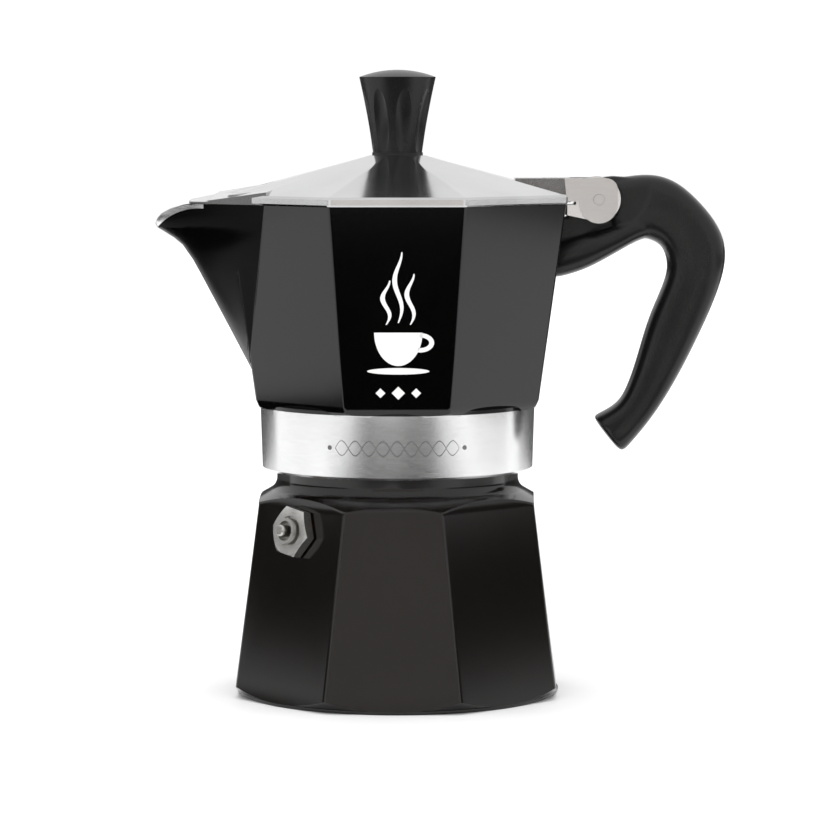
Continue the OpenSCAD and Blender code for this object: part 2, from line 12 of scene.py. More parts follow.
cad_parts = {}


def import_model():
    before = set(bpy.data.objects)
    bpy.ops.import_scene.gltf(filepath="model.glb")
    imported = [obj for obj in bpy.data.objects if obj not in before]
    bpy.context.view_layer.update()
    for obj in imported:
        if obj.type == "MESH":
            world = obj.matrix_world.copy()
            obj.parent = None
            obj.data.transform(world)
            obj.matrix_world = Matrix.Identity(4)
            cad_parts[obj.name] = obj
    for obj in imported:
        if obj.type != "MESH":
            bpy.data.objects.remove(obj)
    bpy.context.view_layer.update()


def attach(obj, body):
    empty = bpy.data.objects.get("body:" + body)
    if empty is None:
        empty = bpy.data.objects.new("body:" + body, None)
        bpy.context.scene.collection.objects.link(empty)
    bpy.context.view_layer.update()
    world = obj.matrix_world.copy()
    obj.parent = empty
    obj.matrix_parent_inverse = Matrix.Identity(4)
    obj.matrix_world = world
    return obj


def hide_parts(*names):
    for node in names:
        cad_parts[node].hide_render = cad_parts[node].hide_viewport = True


LOG = logging.getLogger("moka")

Colour = tuple[float, float, float]
Point = tuple[float, float, float]
Outline = list[tuple[float, float]]
Corners = list[list[tuple[Vector, Vector]]]

EVEN: Point = (1.0, 1.0, 1.0)  # coordinates as they are
MILLI = 1000.0  # millimetres in a metre
FLAT_FOOT = (0.03685, 0.0762)  # lower edge of the collector's flats: distance from the axis, height
FLAT_HEAD = (0.0439, 0.1298)  # their upper edge
NOISE_SPAN = (0.3, 0.7)  # the values between which most of a noise lies
BROAD_CELLS = 45.0  # cells per metre of the slow change in tone
MIX_FACTOR, MIX_FIRST, MIX_SECOND, MIX_RESULT = 0, 6, 7, 2  # colour sockets of a Mix node
WELD = 0.000002  # vertices of a frame node closer than this are one
PRINT_WELD = 0.000001  # the same for a print
CAST_EDGE = 24.0  # edges of castings and turned pieces sharper than this stay crisp
LID_EDGE = 8.0
PIN_EDGE = 30.0
COIL_EDGE = 50.0
INWARD = -0.05  # a face whose normal's outward part is less than this looks inwards
UPWARD = 0.5  # a face whose normal rises more than this looks upwards
ROUND_SIDES = 96  # sides of a round cutter
RING_END = 345.0  # last angle of a closed ring, short of its first point
TIP = 0.25  # width of a strand's tips as a share of its middle


class Grain(Enum):
    """How the fine surface texture of a finish runs."""

    CAST = "cast"
    BRUSHED = "brushed"
    TURNED = "turned"
    MOULDED = "moulded"


class Action(Enum):
    """What a tool does to the piece that it meets."""

    CUT = "DIFFERENCE"
    JOIN = "UNION"


class NodeSheet:
    """Thin helper over one material's node tree."""

    def __init__(self, name: str) -> None:
        """Starts an empty material with its output node.

        Args:
            name: Name of the new material.
        """
        self.material = bpy.data.materials.new(name)
        self.material.use_nodes = True
        self.tree = self.material.node_tree
        self.tree.nodes.clear()
        self.output = self.add("ShaderNodeOutputMaterial")

    def add(self, kind: str, **values: object) -> bpy.types.Node:
        """Adds a node and sets its plain properties.

        Args:
            kind: Blender's type name of the node.
            values: Properties of the node by name.

        Returns:
            The new node.
        """
        node = self.tree.nodes.new(kind)
        for key, value in values.items():
            setattr(node, key, value)
        return node

    def link(self, source: bpy.types.NodeSocket, target: bpy.types.NodeSocket) -> None:
        """Joins an output socket to an input socket."""
        self.tree.links.new(source, target)

    def coordinates(self, scale: Point) -> bpy.types.NodeSocket:
        """Gives the object coordinates, stretched.

        Args:
            scale: Stretch along X, Y and Z.

        Returns:
            The mapped vector socket.
        """
        source = self.add("ShaderNodeTexCoord")
        mapping = self.add("ShaderNodeMapping")
        mapping.inputs["Scale"].default_value = scale
        self.link(source.outputs["Object"], mapping.inputs["Vector"])
        return mapping.outputs["Vector"]

    def noise(self, vector: bpy.types.NodeSocket, scale: float, detail: float) -> bpy.types.NodeSocket:
        """Adds a noise texture.

        Args:
            vector: Where the noise is read.
            scale: Number of cells per metre.
            detail: Octaves of the noise.

        Returns:
            The noise value socket.
        """
        node = self.add("ShaderNodeTexNoise")
        node.inputs["Scale"].default_value = scale
        node.inputs["Detail"].default_value = detail
        self.link(vector, node.inputs["Vector"])
        return node.outputs["Fac"]

    def span(self, value: bpy.types.NodeSocket, low: float, high: float) -> bpy.types.NodeSocket:
        """Maps a noise to a range of numbers.

        Args:
            value: The noise value socket.
            low: Result at the low end of the noise.
            high: Result at its high end.

        Returns:
            The mapped value socket.
        """
        node = self.add("ShaderNodeMapRange")
        node.inputs["From Min"].default_value = NOISE_SPAN[0]
        node.inputs["From Max"].default_value = NOISE_SPAN[1]
        node.inputs["To Min"].default_value = low
        node.inputs["To Max"].default_value = high
        self.link(value, node.inputs["Value"])
        return node.outputs["Result"]

    def mix(self, factor: bpy.types.NodeSocket, dark: Colour, light: Colour) -> bpy.types.NodeSocket:
        """Blends two colours by a factor.

        Args:
            factor: Blend socket, 0 for dark and 1 for light.
            dark: First colour.
            light: Second colour.

        Returns:
            The colour socket.
        """
        node = self.add("ShaderNodeMix", data_type="RGBA")
        node.inputs[MIX_FIRST].default_value = (*dark, 1.0)
        node.inputs[MIX_SECOND].default_value = (*light, 1.0)
        self.link(factor, node.inputs[MIX_FACTOR])
        return node.outputs[MIX_RESULT]

    def bump(self, height: bpy.types.NodeSocket, depth: float, strength: float) -> bpy.types.NodeSocket:
        """Adds a bump.

        Args:
            height: Height socket.
            depth: Height of the relief in metres.
            strength: Share of the relief that is used.

        Returns:
            The normal socket.
        """
        node = self.add("ShaderNodeBump")
        node.inputs["Distance"].default_value = depth
        node.inputs["Strength"].default_value = strength
        self.link(height, node.inputs["Height"])
        return node.outputs["Normal"]


@dataclass(frozen=True)
class Finish:
    """One surface finish, made into a material when it is first asked for."""

    name: str
    dark: Colour
    light: Colour
    rough_low: float
    rough_high: float
    metal: float = 0.0
    specular: float = 0.5
    grain: Grain = Grain.CAST
    cells: float = 900.0
    relief: float = 0.00002
    strength: float = 0.3

    def stretch(self) -> Point:
        """Gives the stretch of the grain.

        Returns:
            The stretch along X, Y and Z.
        """
        if self.grain is Grain.BRUSHED:
            return (0.05, 1.0, 1.0)
        if self.grain is Grain.TURNED:
            return (0.04, 0.04, 1.0)
        return EVEN

    def shader(self, sheet: NodeSheet) -> bpy.types.Node:
        """Adds the shader of this finish to a sheet.

        Args:
            sheet: The material's node sheet.

        Returns:
            The Principled shader node.
        """
        shader = sheet.add("ShaderNodeBsdfPrincipled")
        shader.inputs["Metallic"].default_value = self.metal
        shader.inputs["Specular IOR Level"].default_value = self.specular
        fine = sheet.noise(sheet.coordinates(self.stretch()), self.cells, 4.0)
        broad = sheet.span(sheet.noise(sheet.coordinates(EVEN), BROAD_CELLS, 2.0), 0.0, 1.0)
        sheet.link(sheet.mix(broad, self.dark, self.light), shader.inputs["Base Color"])
        sheet.link(sheet.span(fine, self.rough_low, self.rough_high), shader.inputs["Roughness"])
        sheet.link(sheet.bump(fine, self.relief, self.strength), shader.inputs["Normal"])
        return shader

    def material(self) -> bpy.types.Material:
        """Gives the material of this finish, building it once.

        Returns:
            The material.
        """
        made = bpy.data.materials.get(self.name + "_finish")
        if made is None:
            sheet = NodeSheet(self.name + "_finish")
            sheet.link(self.shader(sheet).outputs["BSDF"], sheet.output.inputs["Surface"])
            made = sheet.material
        return made


BLACK_COAT = Finish("black_coat", (0.0010, 0.0010, 0.0010), (0.0017, 0.0016, 0.0015), 0.1, 0.14,
                    specular=0.43, cells=2600.0, relief=0.000006, strength=0.08)
# Painted shade: a darker copy of the black coat with almost no reflection, laid on the spout so that it reads
# pure black.
SPOUT_PAINTED_SHADE = Finish("spout_painted_shade", (0.0008, 0.0008, 0.0008), (0.0012, 0.0012, 0.0012), 0.2, 0.26,
                    specular=0.05, cells=2600.0, relief=0.000006, strength=0.08)
BOILER_COAT = Finish("boiler_coat", (0.0026, 0.0018, 0.0013), (0.0036, 0.0026, 0.0019), 0.13, 0.17,
                     specular=0.47, cells=2600.0, relief=0.000006, strength=0.08)
BARE_TURNED = Finish("bare_turned", (0.74, 0.74, 0.745), (0.82, 0.82, 0.82), 0.17, 0.26, metal=1.0,
                     grain=Grain.TURNED, cells=9000.0, relief=0.000003, strength=0.2)
# Painted shade: a dark metal laid on the sides of the lid's cover and hinge block and in a ring round the
# hinge pin's ends.
PAINTED_SHADE_METAL = Finish("painted_shade_metal", (0.15, 0.15, 0.15), (0.22, 0.22, 0.22), 0.25, 0.36, metal=1.0,
                   cells=3500.0, relief=0.000004, strength=0.15)
LID_METAL = Finish("lid_metal", (0.54, 0.54, 0.545), (0.61, 0.61, 0.61), 0.1, 0.2, metal=1.0,
                   grain=Grain.BRUSHED, cells=3000.0, relief=0.000001, strength=0.05)
SPUN_METAL = Finish("spun_metal", (0.68, 0.68, 0.69), (0.78, 0.78, 0.78), 0.25, 0.4, metal=1.0,
                    grain=Grain.TURNED, cells=8000.0, relief=0.000004, strength=0.25)
STEEL = Finish("pin_steel", (0.5, 0.5, 0.5), (0.62, 0.62, 0.62), 0.22, 0.36, metal=1.0,
               cells=5000.0, relief=0.000004, strength=0.2)
VALVE_METAL = Finish("valve_metal", (0.46, 0.455, 0.44), (0.57, 0.56, 0.54), 0.24, 0.36, metal=1.0,
                     cells=6000.0, relief=0.000004, strength=0.2)
PIN_METAL = Finish("valve_pin_metal", (0.46, 0.45, 0.43), (0.58, 0.57, 0.55), 0.2, 0.32, metal=1.0,
                   cells=6000.0, relief=0.000003, strength=0.2)
BLACK_PLASTIC = Finish("black_plastic", (0.0055, 0.0055, 0.0057), (0.0085, 0.0085, 0.0088), 0.26, 0.34,
                       specular=0.33, grain=Grain.MOULDED, cells=5200.0, relief=0.000008, strength=0.2)
SEAL_RUBBER = Finish("seal_rubber", (0.62, 0.59, 0.52), (0.72, 0.69, 0.62), 0.6, 0.75,
                     cells=3800.0, relief=0.00002, strength=0.3)
SEAL_FIBRE = Finish("seal_fibre", (0.25, 0.09, 0.04), (0.36, 0.14, 0.07), 0.6, 0.75,
                    cells=3800.0, relief=0.00002, strength=0.3)
WHITE_PRINT = Finish("white_print", (0.80, 0.80, 0.79), (0.87, 0.87, 0.86), 0.4, 0.55,
                     cells=5000.0, relief=0.000004, strength=0.2)
GREY_PRINT = Finish("grey_print", (0.10, 0.10, 0.10), (0.16, 0.16, 0.16), 0.4, 0.55,
                    cells=5000.0, relief=0.000004, strength=0.2)
FLOOR_PAINT = Finish("floor_paint", (0.86, 0.86, 0.86), (0.88, 0.88, 0.88), 0.7, 0.8, cells=20.0)


def dress(node: str, finish: Finish) -> None:
    """Gives a frame node one finish.

    Args:
        node: Name of the node.
        finish: The finish it gets.
    """
    target = bpy.data.objects[node]
    target.data.materials.clear()
    target.data.materials.append(finish.material())
    LOG.info("%s wears %s", node, finish.name)


def deselect() -> None:
    """Leaves nothing selected and no mode open."""
    if bpy.context.object is not None and bpy.context.object.mode != "OBJECT":
        bpy.ops.object.mode_set(mode="OBJECT")
    bpy.ops.object.select_all(action="DESELECT")


def pick(*pieces: bpy.types.Object) -> None:
    """Selects some objects and makes the first of them the active one.

    Args:
        pieces: The objects.
    """
    deselect()
    for piece in pieces:
        piece.select_set(True)
    bpy.context.view_layer.objects.active = pieces[0]


def settle(piece: bpy.types.Object) -> None:
    """Applies the place, turn and scale of a piece to its mesh."""
    pick(piece)
    bpy.ops.object.transform_apply(location=True, rotation=True, scale=True)


def apply_all(piece: bpy.types.Object) -> None:
    """Applies every modifier of a piece, first to last.

    Args:
        piece: The piece.
    """
    pick(piece)
    for name in [modifier.name for modifier in piece.modifiers]:
        bpy.ops.object.modifier_apply(modifier=name)


def combine(piece: bpy.types.Object, tool: bpy.types.Object, action: Action) -> None:
    """Cuts a piece with another object or joins the two, and removes that object.

    Args:
        piece: The piece that is changed.
        tool: The closed object that it is cut or joined with.
        action: What the tool does to the piece.
    """
    modifier = piece.modifiers.new("combine", "BOOLEAN")
    modifier.operation = action.value
    modifier.solver = "EXACT"
    modifier.object = tool
    apply_all(piece)
    bpy.data.objects.remove(tool, do_unlink=True)


def smooth(piece: bpy.types.Object, degrees: float) -> None:
    """Shades a piece smooth except at edges sharper than an angle."""
    pick(piece)
    bpy.ops.object.shade_smooth_by_angle(angle=math.radians(degrees))


def finish_piece(piece: bpy.types.Object, body: str, finish: Finish) -> None:
    """Gives a new piece its finish and the body it rides on.

    Args:
        piece: The new piece.
        body: Name of the body.
        finish: The finish it gets.
    """
    piece.data.materials.clear()
    piece.data.materials.append(finish.material())
    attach(piece, body)
    LOG.info("%s rides on %s in %s", piece.name, body, finish.name)


def corner_sets(mesh: bpy.types.Mesh) -> tuple[KDTree, Corners]:
    """Collects the corner places and corner normals of every face of a mesh.

    Args:
        mesh: The mesh before its vertices are merged.

    Returns:
        A search tree over the face centres, and for each face its corners.
    """
    normals = [Vector(normal.vector) for normal in mesh.corner_normals]
    tree = KDTree(len(mesh.polygons))
    corners = []
    for face in mesh.polygons:
        tree.insert(face.center, face.index)
        corners.append([(mesh.vertices[mesh.loops[k].vertex_index].co.copy(), normals[k])
                        for k in face.loop_indices])
    tree.balance()
    return tree, corners


def blend_normals(mesh: bpy.types.Mesh, tree: KDTree, corners: Corners, degrees: float) -> None:
    """Gives a merged mesh the true surface normals, blended over its blunt edges.

    Args:
        mesh: The merged mesh.
        tree: Search tree over the old face centres.
        corners: Old corners of every face.
        degrees: Edges sharper than this stay crisp.
    """
    limit = math.cos(math.radians(degrees))
    own: list[Vector] = [Vector((0.0, 0.0, 1.0))] * len(mesh.loops)
    around: dict[int, list[tuple[Vector, float]]] = {}
    for face in mesh.polygons:
        known = corners[tree.find(face.center)[1]]
        for k in face.loop_indices:
            vertex = mesh.loops[k].vertex_index
            here = mesh.vertices[vertex].co
            own[k] = min(known, key=lambda corner: (corner[0] - here).length_squared)[1]
            around.setdefault(vertex, []).append((own[k], face.area))
    mesh.shade_smooth()
    result = []
    for k, normal in enumerate(own):
        total = Vector((0.0, 0.0, 0.0))
        for other, area in around[mesh.loops[k].vertex_index]:
            if normal.dot(other) > limit:
                total += other * area
        result.append(total.normalized() if total.length > 0.0 else normal)
    mesh.normals_split_custom_set(result)


def faces_axis(face: bpy.types.MeshPolygon) -> bool:
    """Tells whether a face looks towards the pot's axis.

    Args:
        face: The face.

    Returns:
        True for a face on an inner wall.
    """
    outward = Vector((face.center.x, face.center.y, 0.0))
    return outward.length > 0.0 and face.normal.dot(outward.normalized()) < INWARD


def cleaned(node: str, degrees: float) -> bpy.types.Object:
    """Copies a frame node into a welded piece with soft shading over its blunt edges.

    Args:
        node: Name of the frame node.
        degrees: Edges sharper than this stay crisp.

    Returns:
        The piece, which stands for the node.
    """
    deselect()
    piece = bpy.data.objects.new(node + "_piece", bpy.data.objects[node].data.copy())
    bpy.context.scene.collection.objects.link(piece)
    tree, corners = corner_sets(piece.data)
    pick(piece)
    bpy.ops.object.mode_set(mode="EDIT")
    bpy.ops.mesh.select_all(action="SELECT")
    bpy.ops.mesh.remove_doubles(threshold=WELD)
    bpy.ops.object.mode_set(mode="OBJECT")
    blend_normals(piece.data, tree, corners, degrees)
    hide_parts(node)
    return piece


@dataclass(frozen=True)
class Station:
    """One cross-section on the way of the handle, in millimetres from the hinge pin."""

    outer: tuple[float, float]
    inner: tuple[float, float]
    half: float


@dataclass
class HandlePiece:
    """Moulded handle grown station by station, with a second branch to the pot's wall."""

    pin: Point = (0.05285, 0.0, 0.1308)
    sides: int = 16
    roundness: float = 0.78
    valley: float = 0.2
    valley_reach: float = 2.2
    fullness: float = 1.02
    soften: int = 2
    web_half: float = 0.0026
    cheek_room: tuple[float, float] = (0.0102, 0.012)
    cheek_place: Point = (0.0034, 0.0106, 0.0026)
    pin_bore: tuple[float, float] = (0.00142, 0.03)
    lug_room: tuple[float, float] = (0.0063, 0.02)
    lug_middle: float = 0.0127
    pocket_middle: Point = (0.0403, 0.0, 0.1147)
    pocket_size: Point = (0.0088, 0.005, 0.0052)
    voxel: float = 0.00042
    relax_share: float = 0.5
    relax_rounds: int = 14
    crisp: float = 40.0
    wall_gap: float = 0.00015
    grip: tuple[Station, ...] = (
        Station((2.4, 5.3), (3.0, -8.6), 5.0), Station((6.6, 5.8), (6.6, -8.9), 5.4),
        Station((10.6, 6.4), (9.8, -9.4), 5.7),
        Station((14.7, 6.5), (11.8, -10.1), 6.0), Station((18.5, 5.6), (13.8, -10.6), 6.2),
        Station((22.3, 3.6), (15.8, -11.4), 6.4), Station((26.6, -0.3), (17.3, -12.9), 6.6),
        Station((30.6, -4.9), (18.1, -14.9), 6.7), Station((33.1, -9.4), (18.5, -17.0), 6.7),
        Station((34.1, -14.0), (18.4, -19.3), 6.7), Station((33.5, -19.2), (17.6, -22.0), 6.7),
        Station((31.7, -24.9), (16.2, -25.5), 6.6), Station((29.3, -30.8), (14.3, -29.8), 6.5),
        Station((26.5, -36.8), (12.6, -34.8), 6.4), Station((23.5, -43.0), (11.2, -39.8), 6.3),
        Station((20.4, -48.8), (9.8, -44.6), 6.2), Station((17.3, -54.0), (8.4, -48.6), 6.1),
        Station((14.2, -58.5), (6.9, -52.0), 6.1), Station((11.4, -62.0), (5.0, -54.3), 6.2),
        Station((9.0, -64.8), (2.4, -55.9), 6.4), Station((7.3, -66.7), (-0.2, -57.2), 6.4),
        Station((5.9, -66.9), (-1.2, -57.9), 5.9))
    branch: tuple[Station, ...] = (
        Station((-14.0, -12.6), (-14.5, -21.8), 5.3), Station((-6.3, -9.6), (-6.4, -19.7), 5.5),
        Station((-2.4, -8.5), (-1.9, -18.0), 5.6), Station((1.6, -7.7), (2.6, -15.5), 5.7),
        Station((5.6, -6.4), (7.2, -12.9), 5.8), Station((9.6, -4.2), (11.0, -10.6), 5.6),
        Station((14.0, -2.6), (15.2, -9.8), 5.2))
    web_outline: tuple[tuple[float, float], ...] = (
        (-12, -16), (-12, -4.8), (-8.2, -4.8), (-4, 3.5), (0, 5.6), (3.9, 6.1), (10, 5.6), (11, -8), (2, -13))

    def section(self, valley: float) -> None:
        """Adds the unit cross-section and leaves it selected in edit mode.

        Args:
            valley: How far the middle of both sides is drawn in, as a share.
        """
        deselect()
        bpy.ops.mesh.primitive_circle_add(vertices=self.sides, radius=1.0, fill_type="NGON")
        mesh = bpy.context.object.data
        for vertex in mesh.vertices:
            u, v = vertex.co.x, vertex.co.y
            draw = valley * max(0.0, 1.0 - self.valley_reach * abs(u))
            vertex.co.x = math.copysign(abs(u) ** self.roundness, u)
            vertex.co.y = math.copysign(abs(v) ** self.roundness, v) * (1.0 - draw)
        bpy.ops.object.mode_set(mode="EDIT")
        bpy.ops.mesh.select_all(action="SELECT")

    def place(self, station: Station, back: bool = False) -> None:
        """Moves the selected ring from its unit form to a station, or back again.

        Args:
            station: The station.
            back: True to bring it back to the unit form.
        """
        scale = self.fullness / MILLI
        (x0, z0), (x1, z1) = station.outer, station.inner
        length = math.hypot(x0 - x1, z0 - z1) / 2.0 * scale
        width = station.half * scale
        angle = math.atan2(z0 - z1, x0 - x1)
        middle_x, middle_z = (x0 + x1) / 2.0 / MILLI, (z0 + z1) / 2.0 / MILLI
        centre = Vector((self.pin[0] + middle_x, 0.0, self.pin[2] + middle_z))
        origin = (0.0, 0.0, 0.0)
        if back:
            bpy.ops.transform.translate(value=-centre)
            bpy.ops.transform.rotate(value=-angle, orient_axis="Y", center_override=origin)
            bpy.ops.transform.resize(value=(1.0 / length, 1.0 / width, 1.0), center_override=origin)
        else:
            bpy.ops.transform.resize(value=(length, width, 1.0), center_override=origin)
            bpy.ops.transform.rotate(value=angle, orient_axis="Y", center_override=origin)
            bpy.ops.transform.translate(value=centre)

    def grow(self, stations: tuple[Station, ...], valley: float) -> bpy.types.Object:
        """Extrudes the section through all stations and smooths the result.

        Args:
            stations: The stations in order.
            valley: Depth of the side valleys as a share.

        Returns:
            The closed limb.
        """
        self.section(valley)
        self.place(stations[0])
        for here, following in zip(stations, stations[1:]):
            bpy.ops.mesh.extrude_region_move()
            self.place(here, back=True)
            self.place(following)
        bpy.ops.mesh.select_all(action="SELECT")
        bpy.ops.mesh.normals_make_consistent(inside=False)
        limb = bpy.context.object
        bpy.ops.object.mode_set(mode="OBJECT")
        round_off = limb.modifiers.new("round", "SUBSURF")
        round_off.levels = round_off.render_levels = self.soften
        apply_all(limb)
        return limb

    def web(self) -> bpy.types.Object:
        """Thin web round the hinge pin between the two limbs.

        Returns:
            The closed web.
        """
        deselect()
        bpy.ops.mesh.primitive_circle_add(vertices=len(self.web_outline), radius=1.0, fill_type="NGON")
        web = bpy.context.object
        for vertex, (x, z) in zip(web.data.vertices, self.web_outline):
            vertex.co = (self.pin[0] + x / MILLI, -self.web_half, self.pin[2] + z / MILLI)
        bpy.ops.object.mode_set(mode="EDIT")
        bpy.ops.mesh.select_all(action="SELECT")
        bpy.ops.mesh.extrude_region_move(TRANSFORM_OT_translate={"value": (0.0, 2.0 * self.web_half, 0.0)})
        bpy.ops.mesh.select_all(action="SELECT")
        bpy.ops.mesh.normals_make_consistent(inside=False)
        bpy.ops.object.mode_set(mode="OBJECT")
        return web

    def rod(self, size: tuple[float, float], shift: Point) -> bpy.types.Object:
        """Round cutter that lies along the hinge pin.

        Args:
            size: Its radius and its length.
            shift: Its middle, from the middle of the pin.

        Returns:
            The cutter.
        """
        deselect()
        bpy.ops.mesh.primitive_cylinder_add(vertices=ROUND_SIDES, radius=size[0], depth=size[1],
                                            rotation=(math.radians(90.0), 0.0, 0.0),
                                            location=[at + by for at, by in zip(self.pin, shift)])
        return bpy.context.object

    def recess(self, piece: bpy.types.Object) -> None:
        """Cuts room beside the limbs for the two cheeks of the lid.

        Args:
            piece: The joined limbs.
        """
        along, across, up = self.cheek_place
        for side in (-1, 1):
            combine(piece, self.rod(self.cheek_room, (along, side * across, up)), Action.CUT)

    def clear(self, piece: bpy.types.Object) -> None:
        """Cuts room for the hinge pin, the two lugs and the collector's tongue.

        Args:
            piece: The rounded handle.
        """
        combine(piece, self.rod(self.pin_bore, (0.0, 0.0, 0.0)), Action.CUT)
        for side in (-1, 1):
            combine(piece, self.rod(self.lug_room, (0.0, side * self.lug_middle, 0.0)), Action.CUT)
        deselect()
        bpy.ops.mesh.primitive_cube_add(size=1.0, location=self.pocket_middle)
        pocket = bpy.context.object
        pocket.scale = self.pocket_size
        settle(pocket)
        combine(piece, pocket, Action.CUT)

    def trim(self, piece: bpy.types.Object) -> None:
        """Cuts the piece off in front of the pot's sloping wall.

        Args:
            piece: The rounded handle.
        """
        run = Vector((FLAT_HEAD[0] - FLAT_FOOT[0], 0.0, FLAT_HEAD[1] - FLAT_FOOT[1]))
        normal = Vector((run.z, 0.0, -run.x)).normalized()
        point = Vector((FLAT_FOOT[0], 0.0, FLAT_FOOT[1])) + normal * self.wall_gap
        pick(piece)
        bpy.ops.object.mode_set(mode="EDIT")
        bpy.ops.mesh.select_all(action="SELECT")
        bpy.ops.mesh.bisect(plane_co=point, plane_no=normal, clear_inner=True, use_fill=True)
        bpy.ops.object.mode_set(mode="OBJECT")

    def build(self) -> None:
        """Builds the handle and lets it stand for the frame's one."""
        piece = self.grow(self.grip, self.valley)
        combine(piece, self.grow(self.branch, 0.0), Action.JOIN)
        combine(piece, self.web(), Action.JOIN)
        self.recess(piece)
        piece.name = "handle_piece"
        remesh = piece.modifiers.new("blend", "REMESH")
        remesh.mode = "VOXEL"
        remesh.voxel_size = self.voxel
        relax = piece.modifiers.new("relax", "SMOOTH")
        relax.factor = self.relax_share
        relax.iterations = self.relax_rounds
        apply_all(piece)
        self.trim(piece)
        self.clear(piece)
        smooth(piece, self.crisp)
        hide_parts("handle")
        finish_piece(piece, "collector", BLACK_PLASTIC)


@dataclass
class Print:
    """Flat printed mark made of closed outlines in millimetres."""

    name: str
    thick: float = 0.00008

    def flat(self, outlines: list[Outline]) -> bpy.types.Object:
        """Fills the outlines and gives them a little thickness.

        Args:
            outlines: Closed outlines; one inside another is a hole.

        Returns:
            The mesh object, lying in its own XY plane.
        """
        curve = bpy.data.curves.new(self.name, "CURVE")
        curve.dimensions = "2D"
        curve.fill_mode = "BOTH"
        curve.extrude = self.thick / 2.0
        for outline in outlines:
            spline = curve.splines.new("POLY")
            spline.points.add(len(outline) - 1)
            for point, (u, w) in zip(spline.points, outline):
                point.co = (u / MILLI, w / MILLI, 0.0, 1.0)
            spline.use_cyclic_u = True
        piece = bpy.data.objects.new(self.name, curve)
        bpy.context.scene.collection.objects.link(piece)
        pick(piece)
        bpy.ops.object.convert(target="MESH")
        bpy.ops.object.mode_set(mode="EDIT")
        bpy.ops.mesh.select_all(action="SELECT")
        bpy.ops.mesh.remove_doubles(threshold=PRINT_WELD)
        bpy.ops.mesh.normals_make_consistent(inside=False)
        bpy.ops.object.mode_set(mode="OBJECT")
        return bpy.context.object


def strand(length: float, sway: float, waves: float, width: float, steps: int = 40) -> Outline:
    """Outline of a waving ribbon that tapers to both ends, upright from the origin.

    Args:
        length: Height of the ribbon.
        sway: Half width of its waves.
        waves: Number of waves.
        width: Full width at its middle.
        steps: Number of points along one side.

    Returns:
        The closed outline.
    """
    left, right = [], []
    for k in range(steps + 1):
        t = k / steps
        x = sway * math.sin(2.0 * math.pi * waves * t)
        half = width / 2.0 * (TIP + (1.0 - TIP) * math.sin(math.pi * t))
        left.append((x - half, length * t))
        right.append((x + half, length * t))
    return left + right[::-1]


def arc(cx: float, cy: float, rx: float, ry: float, start: float, end: float, steps: int = 24) -> Outline:
    """Points along an elliptic arc.

    Args:
        cx: Centre across.
        cy: Centre upwards.
        rx: Radius across.
        ry: Radius upwards.
        start: First angle in degrees.
        end: Last angle in degrees.
        steps: Number of stretches.

    Returns:
        The points.
    """
    angles = [math.radians(start + (end - start) * k / steps) for k in range(steps + 1)]
    return [(cx + rx * math.cos(a), cy + ry * math.sin(a)) for a in angles]


@dataclass
class CupMark:
    """White print of a steaming cup on the front flat of the collector."""

    middle: float = 0.0003
    base: float = 0.0805
    size: float = 1.14
    lift: float = 0.00006
    rim: float = 15.4
    bowl: tuple[float, float] = (5.4, 7.6)
    ear: tuple[float, float] = (4.9, 13.1)
    ear_outer: tuple[float, float] = (3.1, 2.2)
    ear_inner: tuple[float, float] = (2.0, 1.2)
    ear_angles: tuple[float, float] = (-100.0, 90.0)
    saucer_height: float = 6.6
    saucer: tuple[float, float] = (7.0, 0.75)
    steam: tuple[Point, ...] = ((-2.7, 17.2, 10.0), (0.0, 17.6, 16.0), (2.7, 17.2, 11.5))
    steam_wave: Point = (0.8, 1.25, 1.1)
    studs: tuple[tuple[float, float], ...] = ((-4.0, 1.1), (0.0, 1.5), (4.0, 1.1))
    stud_height: float = 1.6

    def outlines(self) -> list[Outline]:
        """Draws the cup, its ear, the saucer, the steam and three studs.

        Returns:
            The closed outlines in millimetres.
        """
        half, deep = self.bowl
        start, end = self.ear_angles
        bowl = [(-half, self.rim), (half, self.rim)] + arc(0.0, self.rim, half, deep, 0.0, -180.0)[1:-1]
        ear = arc(*self.ear, *self.ear_outer, start, end) + arc(*self.ear, *self.ear_inner, end, start)
        marks = [bowl, ear, arc(0.0, self.saucer_height, *self.saucer, 0.0, RING_END)]
        for x, low, length in self.steam:
            marks.append([(x + u, low + w) for u, w in strand(length, *self.steam_wave)])
        middle = self.stud_height
        for x, size in self.studs:
            marks.append([(x - size, middle), (x, middle - size), (x + size, middle), (x, middle + size)])
        return marks

    def build(self) -> None:
        """Builds the print and lays it on the slanting flat."""
        parts = [Print(f"cup_mark_{k}").flat([o]) for k, o in enumerate(self.outlines())]
        pick(*parts)
        bpy.ops.object.join()
        piece = bpy.context.object
        piece.name = "cup_mark"
        run, rise = FLAT_HEAD[0] - FLAT_FOOT[0], FLAT_HEAD[1] - FLAT_FOOT[1]
        lean = math.atan2(run, rise)
        share = (self.base - FLAT_FOOT[1]) / rise
        depth = FLAT_FOOT[0] + run * share + self.lift
        piece.rotation_euler = (math.radians(90.0) + lean, 0.0, 0.0)
        piece.scale = (self.size, self.size, 1.0)
        piece.location = (self.middle, -depth, self.base)
        settle(piece)
        finish_piece(piece, "collector", WHITE_PRINT)


